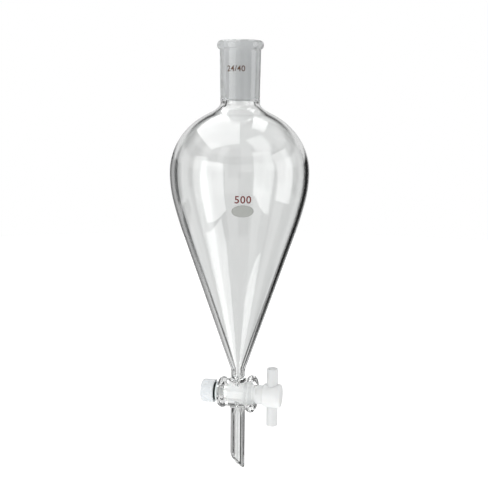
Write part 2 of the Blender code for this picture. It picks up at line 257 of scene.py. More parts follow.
def barrel_field(x, about_x):
    """Distance to the barrel, which is a taper with a rolled bead at each end."""
    share = (x + BARREL_HALF) / (2 * BARREL_HALF)
    side = about_x - (BARREL_NUT_R + (BARREL_HANDLE_R - BARREL_NUT_R) * share)
    body = smooth_max(side, np.abs(x) - BARREL_HALF + 0.15, EDGE_BLEND)
    beads = (
        (-BARREL_HALF + NUT_BEAD_HALF, BARREL_NUT_R - 0.6, NUT_BEAD_HALF, NUT_BEAD_R),
        (BARREL_HALF - HANDLE_BEAD_HALF, BARREL_HANDLE_R - 0.4, HANDLE_BEAD_HALF, HANDLE_BEAD_R),
    )
    for centre, root, half, top in beads:
        height = top - root
        bead = (np.hypot((x - centre) / half, (about_x - root) / height) - 1) * half
        body = smooth_min(body, bead, BEAD_BLEND)
    return body


def stopcock_field(points):
    """Below zero inside the glass of the barrel, the tubes above and below it, and the cut stem."""
    x, y, z = points[..., 0], points[..., 1], points[..., 2]
    about_x = np.hypot(y, z)
    about_z = np.hypot(x, y)
    radius = TUBE_R / MM
    tube = about_z - radius
    slant = tip_normal()
    tip = Vector((radius * math.cos(TIP_TURN), radius * math.sin(TIP_TURN), -TIP_DROP))
    cut = (x - tip.x) * slant.x + (y - tip.y) * slant.y + (z - tip.z) * slant.z
    tube = smooth_max(tube, cut, TIP_BLEND)
    solid = smooth_min(barrel_field(x, about_x), tube, TUBE_BLEND)
    heights = (-PORT_WIDE_DOWN, -PORT_NARROW, PORT_NARROW, PORT_WIDE_UP)
    wide = OUTLET_BORE_R / MM
    port = about_z - np.interp(z, heights, (wide, PORT_R, PORT_R, wide))
    hollow = smooth_min(about_x - bore_radius(x), port, BORE_BLEND)
    return smooth_max(solid, -hollow, EDGE_BLEND)


def tip_normal():
    """Outward normal of the stem's slanted end, which faces down and away from the handle."""
    turn = Matrix.Rotation(TIP_TURN, 3, "Z") @ Matrix.Rotation(TIP_BEVEL, 3, "Y")
    return turn @ Vector((0.0, 0.0, -1.0))


def field_gradient(points):
    step = 0.01
    slope = np.empty_like(points)
    for k in range(3):
        offset = np.zeros(3)
        offset[k] = step
        slope[:, k] = stopcock_field(points + offset) - stopcock_field(points - offset)
    return slope / (2 * step)


def onto_surface(points, tries):
    """Moves points onto the field's zero surface by Newton steps."""
    for _ in range(tries):
        slope = field_gradient(points)
        square = np.maximum((slope**2).sum(axis=1), 1e-6)
        points = points - slope * (stopcock_field(points) / square)[:, None]
    return points


def crossing_points(values, cells, low, step):
    """Mean of the points where the field changes sign on each cell's twelve edges."""
    corners = [(i, j, k) for i in (0, 1) for j in (0, 1) for k in (0, 1)]
    pairs = [(a, b) for a in corners for b in corners if sum(b) - sum(a) == 1]
    edges = [(a, b) for a, b in pairs if np.all(np.subtract(b, a) >= 0)]
    total = np.zeros((len(cells), 3))
    count = np.zeros(len(cells))
    for a, b in edges:
        start = cells + a
        end = cells + b
        va = values[tuple(start.T)]
        vb = values[tuple(end.T)]
        crosses = (va < 0) != (vb < 0)
        share = np.where(crosses, va / np.where(crosses, va - vb, 1.0), 0.0)
        total += np.where(crosses[:, None], start + (end - start) * share[:, None], 0.0)
        count += crosses
    return low + total / count[:, None] * step


def net_faces(values, index):
    """One quad round each grid edge that crosses the surface."""
    inside = values < 0
    faces = []
    for axis in range(3):
        u, v = [(1, 2), (2, 0), (0, 1)][axis]
        first = np.take(inside, range(inside.shape[axis] - 1), axis=axis)
        second = np.take(inside, range(1, inside.shape[axis]), axis=axis)
        spots = np.argwhere(first != second)
        keep = (spots[:, u] > 0) & (spots[:, v] > 0)
        keep &= (spots[:, u] < index.shape[u]) & (spots[:, v] < index.shape[v])
        spots = spots[keep]
        leaves = first[tuple(spots.T)]
        corners = []
        for du, dv in ((1, 1), (0, 1), (0, 0), (1, 0)):
            cell = spots.copy()
            cell[:, u] -= du
            cell[:, v] -= dv
            corners.append(index[tuple(cell.T)])
        quad = np.stack(corners, axis=1)
        quad[~leaves] = quad[~leaves][:, ::-1]
        faces.append(quad)
    faces = np.concatenate(faces)
    return faces[(faces >= 0).all(axis=1)]


def field_mesh(low, high, step):
    """Surface net of the stopcock field in a box: points on the surface, and quads."""
    counts = [int(math.ceil((h - l) / step)) + 1 for l, h in zip(low, high)]
    counts[2] = int(round((high[2] - low[2]) / step)) + 1
    grid = np.stack(np.meshgrid(*(np.arange(n) for n in counts), indexing="ij"), axis=-1)
    values = stopcock_field(low + grid * step)
    inside = values < 0
    total = sum(
        inside[i : counts[0] - 1 + i, j : counts[1] - 1 + j, k : counts[2] - 1 + k].astype(np.int8)
        for i in (0, 1)
        for j in (0, 1)
        for k in (0, 1)
    )
    cells = np.argwhere((total > 0) & (total < 8))
    index = -np.ones(total.shape, dtype=np.int64)
    index[tuple(cells.T)] = np.arange(len(cells))
    points = crossing_points(values, cells, low, step)
    return onto_surface(points, 3), net_faces(values, index)


def relaxed(points, faces, rounds):
    """Evens out the net's quads along the surface."""
    edges = np.concatenate([faces[:, [i, (i + 1) % 4]] for i in range(4)])
    for _ in range(rounds):
        total = np.zeros_like(points)
        count = np.zeros(len(points))
        for a, b in ((0, 1), (1, 0)):
            np.add.at(total, edges[:, a], points[edges[:, b]])
            np.add.at(count, edges[:, a], 1)
        middle = total / count[:, None]
        free = points[:, 2] < FIELD_TOP - 2 * FIELD_STEP
        moved = np.where(free[:, None], 0.5 * points + 0.5 * middle, points)
        points = onto_surface(moved, 2)
    return points


# ---------------------------------------------------------------- mesh helpers


def link(name, mesh):
    obj = bpy.data.objects.new(name, mesh)
    bpy.context.scene.collection.objects.link(obj)
    return obj


def mesh_from(name, points, faces):
    mesh = bpy.data.meshes.new(name)
    mesh.from_pydata([tuple(p) for p in points], [], [tuple(int(i) for i in f) for f in faces])
    mesh.update()
    return mesh


def grid_faces(rows, steps, closed=False):
    """Quads between rings of points that run round an axis."""
    row = np.arange(rows if closed else rows - 1)[:, None]
    step = np.arange(steps)[None, :]
    after = (step + 1) % steps
    above = (row + 1) % rows
    quads = [row * steps + step, row * steps + after, above * steps + after, above * steps + step]
    return np.stack([np.broadcast_to(q, (len(row), steps)) for q in quads], axis=-1).reshape(-1, 4)


def cleaned(mesh, merge):
    """Merges points that meet, drops faces with no area, and turns every face outwards."""
    bm = bmesh.new()
    bm.from_mesh(mesh)
    bmesh.ops.remove_doubles(bm, verts=bm.verts, dist=merge)
    bmesh.ops.dissolve_degenerate(bm, edges=bm.edges, dist=merge)
    bmesh.ops.recalc_face_normals(bm, faces=bm.faces)
    bm.to_mesh(mesh)
    bm.free()


LATHE_STEPS = 144
LATHE_ANGLES = np.arange(LATHE_STEPS) * math.tau / LATHE_STEPS


def lathe(name, rings, closed, sharp=40.0):
    """A solid from rings of points about the plug's axis. Each ring is (x, radius) in millimetres,
    where either may be an array that follows the angle."""
    steps = LATHE_STEPS
    angle = LATHE_ANGLES
    points = []
    for x, radius in rings:
        x = np.broadcast_to(x, (steps,))
        radius = np.broadcast_to(radius, (steps,))
        points.append(np.stack([x, radius * np.cos(angle), radius * np.sin(angle)], axis=1))
    points = np.concatenate(points) * MM + np.array(STOPCOCK)
    mesh = mesh_from(name, points, grid_faces(len(rings), steps, closed))
    cleaned(mesh, 1e-7)
    mesh.shade_smooth()
    mesh.set_sharp_from_angle(angle=math.radians(sharp))
    return link(name, mesh)


def cut_with(obj, tool):
    """Cuts obj by a tool, applies the cut and deletes the tool."""
    cut = obj.modifiers.new("cut", "BOOLEAN")
    cut.operation = "DIFFERENCE"
    cut.object = tool
    cut.solver = "EXACT"
    bpy.context.view_layer.update()
    evaluated = obj.evaluated_get(bpy.context.evaluated_depsgraph_get())
    mesh = bpy.data.meshes.new_from_object(evaluated)
    obj.modifiers.clear()
    obj.data = mesh
    bpy.data.objects.remove(tool, do_unlink=True)
    mesh.shade_smooth()
    mesh.set_sharp_from_angle(angle=math.radians(35.0))


def upright_pin(name, x, radius, half):
    """A round tool along Z through the plug's axis at x."""
    bm = bmesh.new()
    bmesh.ops.create_cone(
        bm,
        cap_ends=True,
        segments=96,
        radius1=radius * MM,
        radius2=radius * MM,
        depth=2 * half * MM,
    )
    bmesh.ops.translate(bm, vec=STOPCOCK + Vector((x * MM, 0, 0)), verts=bm.verts)
    mesh = bpy.data.meshes.new(name)
    bm.to_mesh(mesh)
    bm.free()
    return link(name, mesh)


# ---------------------------------------------------------------- node helpers


def new_material(name):
    material = bpy.data.materials.new(name)
    material.use_nodes = True
    tree = material.node_tree
    return material, tree, tree.nodes["Principled BSDF"]


def noise(tree, scale, detail, stretch=(1.0, 1.0, 1.0), kind="Object"):
    """A noise texture in the object's own space, stretched along an axis where asked."""
    place = tree.nodes.new("ShaderNodeTexCoord")
    mapping = tree.nodes.new("ShaderNodeMapping")
    mapping.inputs["Scale"].default_value = stretch
    texture = tree.nodes.new("ShaderNodeTexNoise")
    texture.inputs["Scale"].default_value = scale
    texture.inputs["Detail"].default_value = detail
    tree.links.new(place.outputs[kind], mapping.inputs["Vector"])
    tree.links.new(mapping.outputs["Vector"], texture.inputs["Vector"])
    return texture.outputs["Fac"]


def remap(tree, value, low, high):
    """Spreads a 0 to 1 value between low and high."""
    node = tree.nodes.new("ShaderNodeMapRange")
    node.inputs["To Min"].default_value = low
    node.inputs["To Max"].default_value = high
    tree.links.new(value, node.inputs["Value"])
    return node.outputs["Result"]


def tinted(tree, value, dark, light):
    ramp = tree.nodes.new("ShaderNodeValToRGB")
    ramp.color_ramp.elements[0].position = 0.3
    ramp.color_ramp.elements[1].position = 0.7
    ramp.color_ramp.elements[0].color = (*dark, 1.0)
    ramp.color_ramp.elements[1].color = (*light, 1.0)
    tree.links.new(value, ramp.inputs["Fac"])
    return ramp.outputs["Color"]


def paint(tree, shader, value, dark, light):
    """Base colour that drifts between two tints with a 0 to 1 value."""
    tree.links.new(tinted(tree, value, dark, light), shader.inputs["Base Color"])


def bump(tree, shader, heights, distance):
    """Adds bumps from one or more (height, strength) pairs, chained."""
    last = None
    for height, strength in heights:
        node = tree.nodes.new("ShaderNodeBump")
        node.inputs["Strength"].default_value = strength
        node.inputs["Distance"].default_value = distance
        tree.links.new(height, node.inputs["Height"])
        if last is not None:
            tree.links.new(last, node.inputs["Normal"])
        last = node.outputs["Normal"]
    tree.links.new(last, shader.inputs["Normal"])


# ---------------------------------------------------------------- materials

GLASS_IOR = 1.473


def clear_glass_material():
    """Fire-polished borosilicate: almost colourless, with slow waves left by the blowing."""
    material, tree, shader = new_material("fire_polished_glass")
    shader.inputs["Transmission Weight"].default_value = 1.0
    shader.inputs["IOR"].default_value = GLASS_IOR
    haze = noise(tree, 60.0, 3.0)
    paint(tree, shader, haze, (0.965, 0.975, 0.97), (0.98, 0.985, 0.982))
    tree.links.new(remap(tree, haze, 0.0, 0.012), shader.inputs["Roughness"])
    waves = noise(tree, 26.0, 1.0, (1.0, 1.0, 0.35))
    bump(tree, shader, [(waves, 0.10)], 0.4 * MM)
    return material


def ground_glass_material():
    """The ground taper inside the socket: matt, with the fine rings of the grinding."""
    material, tree, shader = new_material("ground_glass_face")
    shader.inputs["Transmission Weight"].default_value = 0.4
    shader.inputs["IOR"].default_value = GLASS_IOR
    grain = noise(tree, 2600.0, 2.0)
    rings = noise(tree, 500.0, 2.0, (0.02, 0.02, 6.0))
    paint(tree, shader, grain, (0.60, 0.615, 0.625), (0.69, 0.70, 0.705))
    tree.links.new(remap(tree, rings, 0.42, 0.62), shader.inputs["Roughness"])
    bump(tree, shader, [(grain, 0.25), (rings, 0.2)], 0.05 * MM)
    return material


def ptfe_material(name, dark, light, roughness, turned_along):
    """White PTFE: satin, a little light enters it, and fine marks run round the turned faces."""
    material, tree, shader = new_material(name)
    cloud = noise(tree, 120.0, 4.0)
    marks = noise(tree, 900.0, 2.0, turned_along)
    paint(tree, shader, cloud, dark, light)
    tree.links.new(remap(tree, marks, roughness - 0.07, roughness + 0.07), shader.inputs["Roughness"])
    shader.inputs["Subsurface Weight"].default_value = 0.35
    shader.inputs["Subsurface Radius"].default_value = (1.0, 0.95, 0.9)
    shader.inputs["Subsurface Scale"].default_value = 1.6 * MM
    shader.inputs["IOR"].default_value = 1.38
    fine = noise(tree, 2400.0, 3.0)
    bump(tree, shader, [(marks, 0.18), (fine, 0.12)], 0.03 * MM)
    return material


def nut_material():
    """Natural translucent plastic with a cool cast and a moulded satin skin."""
    material, tree, shader = new_material("natural_plastic")
    cloud = noise(tree, 160.0, 3.0)
    paint(tree, shader, cloud, (0.83, 0.865, 0.885), (0.88, 0.905, 0.92))
    tree.links.new(remap(tree, cloud, 0.22, 0.34), shader.inputs["Roughness"])
    shader.inputs["Transmission Weight"].default_value = 0.12
    shader.inputs["Subsurface Weight"].default_value = 0.5
    shader.inputs["Subsurface Radius"].default_value = (1.0, 1.05, 1.1)
    shader.inputs["Subsurface Scale"].default_value = 2.0 * MM
    shader.inputs["IOR"].default_value = 1.49
    fine = noise(tree, 1500.0, 3.0)
    bump(tree, shader, [(fine, 0.15)], 0.03 * MM)
    return material


def rubber_material():
    """Black nitrile rubber with a dull, faintly grained skin."""
    material, tree, shader = new_material("nitrile_rubber")
    cloud = noise(tree, 300.0, 4.0)
    paint(tree, shader, cloud, (0.003, 0.010, 0.010), (0.008, 0.018, 0.018))
    tree.links.new(remap(tree, cloud, 0.45, 0.65), shader.inputs["Roughness"])
    grain = noise(tree, 3000.0, 2.0)
    bump(tree, shader, [(grain, 0.3)], 0.03 * MM)
    return material


def enamel_material(name, dark, light, roughness):
    """Fired ceramic ink: matt, grainy, slightly uneven in depth."""
    material, tree, shader = new_material(name)
    grain = noise(tree, 1800.0, 4.0)
    paint(tree, shader, grain, dark, light)
    tree.links.new(remap(tree, grain, roughness - 0.1, roughness + 0.1), shader.inputs["Roughness"])
    bump(tree, shader, [(grain, 0.4)], 0.03 * MM)
    return material


# ---------------------------------------------------------------- glass


def revolved(outline, steps):
    """Rings of points about Z from an outline of (radius, z)."""
    angle = np.arange(steps) * math.tau / steps
    rings = [np.stack([r * np.cos(angle), r * np.sin(angle), np.full(steps, z)], axis=1) for r, z in outline]
    return np.concatenate(rings)


def zipped(first, second, points):
    """Triangles between two loops of point numbers that run round Z."""
    loops = []
    for loop in (first, second):
        angle = np.arctan2(points[loop, 1], points[loop, 0]) % math.tau
        order = np.argsort(angle)
        ids = np.array(loop)[order]
        turn = angle[order]
        loops.append((np.append(ids, ids[0]), np.append(turn, turn[0] + math.tau)))
    (a, angle_a), (b, angle_b) = loops
    i = j = 0
    faces = []
    while i < len(a) - 1 or j < len(b) - 1:
        a_next = angle_a[i + 1] if i < len(a) - 1 else math.inf
        b_next = angle_b[j + 1] if j < len(b) - 1 else math.inf
        if a_next <= b_next:
            faces.append((a[i], a[i + 1], b[j]))
            i += 1
        else:
            faces.append((a[i], b[j + 1], b[j]))
            j += 1
    return faces


def open_loop(faces, points, radius):
    """The points of the net's open edge that lie near this radius about Z."""
    edges = np.sort(np.concatenate([faces[:, [i, (i + 1) % 4]] for i in range(4)]), axis=1)
    unique, uses = np.unique(edges, axis=0, return_counts=True)
    ends = np.unique(unique[uses == 1])
    distance = np.hypot(points[ends, 0], points[ends, 1])
    return ends[np.abs(distance - radius) < 1.0]


def glass_funnel(clear, ground):
    """The whole fused glass: socket, bulb, barrel and stem as one closed skin."""
    low = np.array([-BARREL_HALF - FIELD_MARGIN, -HANDLE_BEAD_R - FIELD_MARGIN, 0.0])
    depth = TIP_DROP + FIELD_MARGIN + FIELD_TOP
    low[2] = FIELD_TOP - math.ceil(depth / FIELD_STEP) * FIELD_STEP
    high = np.array([-low[0], -low[1], FIELD_TOP])
    net_points, net_quads = field_mesh(low, high, FIELD_STEP)
    net_points = relaxed(net_points, net_quads, 3)

    join_z = STOPCOCK.z + (FIELD_TOP + 0.3) * MM
    outside = stretched(glass_outside(join_z), STRETCH)
    inside = stretched(glass_inside(join_z), STRETCH)
    outline = outside[::-1] + inside
    skin = revolved(outline, GLASS_STEPS)
    quads = grid_faces(len(outline), GLASS_STEPS)

    net_world = net_points * MM + np.array(STOPCOCK)
    points = np.concatenate([skin, net_world])
    shifted = net_quads + len(skin)
    ring = np.arange(GLASS_STEPS)
    last = (len(outline) - 1) * GLASS_STEPS + ring
    outer = open_loop(net_quads, net_points, TUBE_R / MM) + len(skin)
    inner = open_loop(net_quads, net_points, OUTLET_BORE_R / MM) + len(skin)
    strips = zipped(list(ring), list(outer), points) + zipped(list(last), list(inner), points)

    faces = [tuple(q) for q in quads] + [tuple(q) for q in shifted] + strips
    mesh = mesh_from("glass_funnel", points, faces)
    ground_low = RIM_Z - GROUND_LENGTH
    ground_high = RIM_Z - MOUTH_ROUND
    mark_ground(mesh, ground_low, ground_high)
    cleaned(mesh, 1e-7)
    mesh.shade_smooth()
    set_normals(mesh, join_z)
    obj = link("glass_funnel", mesh)
    mesh.materials.append(clear)
    mesh.materials.append(ground)
    return obj


def mark_ground(mesh, low, high):
    """Gives the second material to the taper inside the socket."""
    for face in mesh.polygons:
        centre = face.center
        near_axis = math.hypot(centre.x, centre.y) < GROUND_TOP_R + MOUTH_ROUND / 2
        if near_axis and low < centre.z < high:
            face.material_index = 1


def set_normals(mesh, join_z):
    """Below the join the normals come from the field, so that the net's quads don't show."""
    count = len(mesh.vertices)
    normals = np.empty(count * 3)
    mesh.vertices.foreach_get("normal", normals)
    places = np.empty(count * 3)
    mesh.vertices.foreach_get("co", places)
    normals = normals.reshape(-1, 3)
    places = places.reshape(-1, 3)
    below = places[:, 2] < join_z - 0.1 * MM
    local = (places[below] - np.array(STOPCOCK)) / MM
    slope = field_gradient(local)
    normals[below] = slope / np.linalg.norm(slope, axis=1)[:, None]
    mesh.normals_split_custom_set_from_vertices([tuple(n) for n in normals])


# ---------------------------------------------------------------- marks on the glass


def onto_glass(across, up, lift, azimuth, z):
    """The point this far across and up from a mark's centre, lifted off the outer glass."""
    step = 0.5 * MM
    slope = (outer_radius(z + step) - outer_radius(z - step)) / (2 * step)
    height = z + up / math.hypot(1.0, slope)
    radius = outer_radius(height) + lift
    angle = azimuth + across / radius
    return Vector((radius * math.sin(angle), -radius * math.cos(angle), height))


def writing_spot(material, azimuth, z, half_width, half_height):
    """The oval of matt enamel that takes a pencil, slightly proud of the glass."""
    rings = 12
    steps = 72
    thickness = 0.09 * MM
    lift = 0.03 * MM
    points = []
    for side in (1, -1):
        for i in range(rings + 1):
            share = i / rings
            edge = math.sqrt(max(0.0, 1.0 - share**8))
            height = lift + (thickness * edge if side > 0 else 0.0)
            for k in range(steps):
                a = math.tau * k / steps
                across = half_width * share * math.cos(a)
                up = half_height * share * math.sin(a)
                points.append(onto_glass(across, up, height, azimuth, z))
    quads = grid_faces(rings + 1, steps)
    faces = np.concatenate([quads, quads + (rings + 1) * steps])
    mesh = mesh_from("writing_spot", points, faces)
    cleaned(mesh, 1e-6)
    mesh.shade_smooth()
    mesh.materials.append(material)
    return link("writing_spot", mesh)


def numerals(name, text, height, weight, azimuth, z, spacing, material):
    """Printed figures that follow the glass."""
    curve = bpy.data.curves.new(name, "FONT")
    curve.body = text
    curve.align_x = "CENTER"
    curve.align_y = "CENTER"
    curve.size = height / 0.7
    curve.space_character = spacing
    curve.extrude = 0.035 * MM
    curve.offset = weight
    curve.resolution_u = 6
    flat = link(name + "_flat", curve)
    bpy.context.view_layer.update()
    evaluated = flat.evaluated_get(bpy.context.evaluated_depsgraph_get())
    mesh = bpy.data.meshes.new_from_object(evaluated)
    bpy.data.objects.remove(flat, do_unlink=True)
    mesh.name = name
    diced(mesh, 0.6 * MM)
    bm = bmesh.new()
    bm.from_mesh(mesh)
    bmesh.ops.remove_doubles(bm, verts=bm.verts, dist=1e-7)
    for vert in bm.verts:
        across, up, out = vert.co
        vert.co = onto_glass(across, up, out + 0.075 * MM, azimuth, z)
    bmesh.ops.recalc_face_normals(bm, faces=bm.faces)
    bm.to_mesh(mesh)
    bm.free()
    mesh.materials.clear()
    mesh.materials.append(material)
    mesh.shade_smooth()
    mesh.set_sharp_from_angle(angle=math.radians(40.0))
    return link(name, mesh)


def diced(mesh, step):
    """Cuts a flat mesh into small cells, so that it can bend round the glass."""
    bm = bmesh.new()
    bm.from_mesh(mesh)
    for axis in (0, 1):
        places = [v.co[axis] for v in bm.verts]
        cut = min(places) + step
        while cut < max(places):
            spot = [0.0, 0.0, 0.0]
            spot[axis] = cut
            normal = [0.0, 0.0, 0.0]
            normal[axis] = 1.0
            geometry = bm.verts[:] + bm.edges[:] + bm.faces[:]
            bmesh.ops.bisect_plane(bm, geom=geometry, plane_co=spot, plane_no=normal)
            cut += step
    bm.to_mesh(mesh)
    bm.free()


# ---------------------------------------------------------------- stopcock fittings


def thread_radius(x, crest):
    """Radius of the stud's screw thread at x, for every angle: a helix with rounded crests."""
    phase = (x / THREAD_PITCH - LATHE_ANGLES / math.tau) % 1.0
    wave = np.abs(2.0 * phase - 1.0)
    return crest - THREAD_DEPTH * np.clip(1.25 * wave - 0.12, 0.0, 1.0)


def flat_limit(half):
    """Radius at which each angle meets a pair of flats this far above and below the axis."""
    return half / np.maximum(np.abs(np.sin(LATHE_ANGLES)), 1e-6)


def flattened(radius):
    """The stud's ring with its two flats, above and below the axis."""
    return np.minimum(radius, flat_limit(STUD_FLAT))


def stopcock_plug(material):
    """The PTFE plug: threaded stud with two flats, taper, shoulder and rounded hub."""
    start = PLUG_LOW.x / MM
    end = PLUG_HIGH.x / MM
    flat_end = -BARREL_HALF
    rings = [(start, 0.0)]
    for x in np.linspace(start, TAPER_START - 0.5, 120):
        fade = min(1.0, (x - start) / 0.5 + 0.2)
        radius = thread_radius(x, STUD_R) * (0.85 + 0.15 * fade)
        runout = np.clip((x - (flat_end - 0.6)) / 0.6, 0.0, 1.0)
        radius = radius * (1 - runout) + (STUD_R - 0.25) * runout
        rings.append((x, flattened(radius) if x < flat_end else radius))
    taper_r = bore_radius(TAPER_START) + SEATED
    taper_end = SHOULDER_START - RUN_GAP
    side = [
        (TAPER_START, STUD_R - 0.25),
        (TAPER_START, taper_r - 0.25),
        (TAPER_START + 0.25, taper_r),
        (taper_end, bore_radius(taper_end) + SEATED),
        (SHOULDER_START, SHOULDER_R - 0.5),
    ]
    side += arc((SHOULDER_START + 0.5, SHOULDER_R - 0.5), (-0.5, 0.5), 0.0, math.pi / 2, 4)
    side += [(HUB_START, SHOULDER_R)]
    near = arc((HUB_START + 1.2, HUB_NECK_R - 1.2), (-1.2, 1.2), 0.0, math.pi / 2, 8)
    side += [p for p in near if p[1] > SHOULDER_R]
    side += arc((end - HUB_ROUND, HUB_R - HUB_ROUND), (HUB_ROUND, HUB_ROUND), math.pi / 2, 0.0, 12)
    side += [(end, 3.0), (end, 0.0)]
    rings += stretched(side, 0.8)
    plug = lathe("ptfe_plug", rings, closed=False)
    cut_with(plug, upright_pin("flow_tool", 0.0, PORT_R, HUB_R))
    bar_x = (BAR_LOW.x + BAR_HIGH.x) / 2 / MM
    bar_r = (BAR_HIGH.y - BAR_LOW.y) / 2 / MM
    cut_with(plug, upright_pin("bar_tool", bar_x, bar_r + 0.12, HUB_R + 1.0))
    plug.data.materials.clear()
    plug.data.materials.append(material)
    return plug


def handle_bar(material):
    """The round cross bar with softly rounded ends."""
    half = (BAR_HIGH.z - BAR_LOW.z) / 2
    radius = (BAR_HIGH.y - BAR_LOW.y) / 2
    middle_x = (BAR_LOW.x + BAR_HIGH.x) / 2
    edge = 0.55 * MM
    top = arc((radius - edge, half - edge), (edge, edge), 0.0, math.pi / 2, 6)
    outline = [(0.0, -half), (radius * 0.6, -half)]
    outline += [(r, -z) for r, z in top[::-1]]
    outline += top + [(radius * 0.6, half), (0.0, half)]
    outline = stretched(outline, 1.0 * MM)
    points = revolved(outline, 96) + np.array([middle_x, 0.0, (BAR_LOW.z + BAR_HIGH.z) / 2])
    mesh = mesh_from("cross_bar", points, grid_faces(len(outline), 96))
    cleaned(mesh, 1e-7)
    mesh.shade_smooth()
    mesh.set_sharp_from_angle(angle=math.radians(40.0))
    mesh.materials.append(material)
    return link("cross_bar", mesh)


def washer(material):
    """The turned washer, whose hole has the stud's two flats."""
    low = WASHER_LOW.x / MM
    high = WASHER_HIGH.x / MM
    radius = WASHER_HIGH.y / MM
    edge = 0.3
    hole = np.minimum(STUD_R + RUN_GAP, flat_limit(STUD_FLAT + RUN_GAP))
    outer = arc((low + edge, radius - edge), (-edge, edge), 0.0, math.pi / 2, 5)
    outer += arc((high - edge, radius - edge), (edge, edge), math.pi / 2, 0.0, 5)
    rings = [(low, hole + 0.12), (low, 5.2)] + outer + [(high, 5.2), (high, hole + 0.12)]
    rings += [(high - 0.12, hole), (low + 0.12, hole)]
    obj = lathe("thrust_washer_turned", rings, closed=True)
    obj.data.materials.append(material)
    return obj


# Height of the O-ring's parting line, in millimetres, and its width as a share of the wire
FLASH_HEIGHT = 0.03
FLASH_WIDTH = 0.06


def rubber_ring(material):
    """The moulded O-ring with its fine parting line."""
    centre_x = (RING_LOW.x + RING_HIGH.x) / 2 / MM
    wire = (RING_HIGH.x - RING_LOW.x) / 2 / MM
    radius = RING_HIGH.y / MM - wire
    rings = []
    steps = 48
    for i in range(steps):
        a = math.tau * i / steps
        flash = FLASH_HEIGHT * math.exp(-((math.cos(a) / FLASH_WIDTH) ** 2))
        thick = wire + flash - FLASH_HEIGHT
        rings.append((centre_x + thick * math.cos(a), radius + thick * math.sin(a)))
    obj = lathe("o_ring_moulded", rings, closed=True, sharp=80.0)
    obj.data.materials.append(material)
    return obj


def nut_corner_angle():
    """Where the CAD nut has its corners, about the plug's axis."""
    places = [v.co - STOPCOCK for v in frame["nodes"]["tension_nut"].data.vertices]
    corner = max(places, key=lambda p: round(math.hypot(p.y, p.z), 5))
    return math.atan2(corner.z, corner.y)


def octagon(apothem, corner_angle):
    """Radius of an eight-sided outline with softened corners, for every angle."""
    turn = LATHE_ANGLES - corner_angle - math.pi / 8
    faces = np.array([np.cos(turn - k * math.tau / 8) for k in range(8)])
    sharpness = 36.0
    return apothem / (np.maximum(faces, 0.0) ** sharpness).sum(axis=0) ** (1 / sharpness)


NUT_EDGE = 0.5
NUT_DOME = 2.2
NUT_RECESS_R = 6.8
NUT_RECESS_DEPTH = 1.2


def tension_nut(material):
    """The moulded eight-sided nut: domed outer end, threaded hole, and a recess for the O-ring."""
    face = NUT_HIGH.x / MM
    outer = NUT_LOW.x / MM
    corner_r = max(
        math.hypot(v.co.y, v.co.z - STOPCOCK.z) for v in frame["nodes"]["tension_nut"].data.vertices
    ) / MM
    sides = octagon(corner_r * math.cos(math.pi / 8), nut_corner_angle())
    rings = []
    for r, x in arc((corner_r - NUT_EDGE, face - NUT_EDGE), (NUT_EDGE, NUT_EDGE), math.pi / 2, 0.0, 5):
        rings.append((x, np.minimum(sides, r)))
    for x in np.linspace(face - 0.7, outer + NUT_DOME, 26):
        rings.append((x, sides))
    dome_centre = (corner_r - NUT_DOME, outer + NUT_DOME)
    for r, x in arc(dome_centre, (NUT_DOME, -NUT_DOME), 0.05, math.pi / 2, 16):
        rings.append((x, smooth_min(sides, np.full(LATHE_STEPS, r), 0.35)))
    hole = STUD_R + THREAD_CLEARANCE
    rings.append((outer, np.full(LATHE_STEPS, hole + 1.2)))
    rings.append((outer, np.full(LATHE_STEPS, hole + 0.45)))
    recess_x = face - NUT_RECESS_DEPTH
    for x in np.linspace(outer + 0.3, recess_x - 0.1, 90):
        rings.append((x, thread_radius(x, hole)))
    rings += [(recess_x, hole + 0.3), (recess_x, NUT_RECESS_R - 0.5), (recess_x, NUT_RECESS_R)]
    rings += [(recess_x + 0.3, NUT_RECESS_R), (face, NUT_RECESS_R)]
    obj = lathe("tension_nut_moulded", rings, closed=True, sharp=50.0)
    obj.data.materials.append(material)
    return obj


# ---------------------------------------------------------------- studio

VIEW_AZIMUTH = math.radians(13.0)
VIEW_DISTANCE = 0.620
VIEW_Z = 104.0 * MM
VIEW_PITCH = math.radians(-9.61)
VIEW_ASIDE = 3.6 * MM
VIEW_ROLL = math.radians(0.50)
LENS = 64.03
FLOOR_Z = -0.62


def make_camera():
    """The camera stands a little to the handle's side and looks slightly down."""
    back = Vector((math.sin(VIEW_AZIMUTH), -math.cos(VIEW_AZIMUTH), 0.0))
    right = Vector((math.cos(VIEW_AZIMUTH), math.sin(VIEW_AZIMUTH), 0.0))
    place = back * VIEW_DISTANCE + Vector((0, 0, VIEW_Z)) + right * VIEW_ASIDE
    data = bpy.data.cameras.new("camera")
    data.lens = LENS
    data.sensor_width = 36.0
    data.clip_start = 0.01
    camera = bpy.data.objects.new("camera", data)
    turn = Matrix.Rotation(VIEW_AZIMUTH, 4, "Z")
    tilt = Matrix.Rotation(math.pi / 2 + VIEW_PITCH, 4, "X")
    roll = Matrix.Rotation(VIEW_ROLL, 4, "Z")
    camera.matrix_world = Matrix.Translation(place) @ turn @ tilt @ roll
    bpy.context.scene.collection.objects.link(camera)
    bpy.context.scene.camera = camera


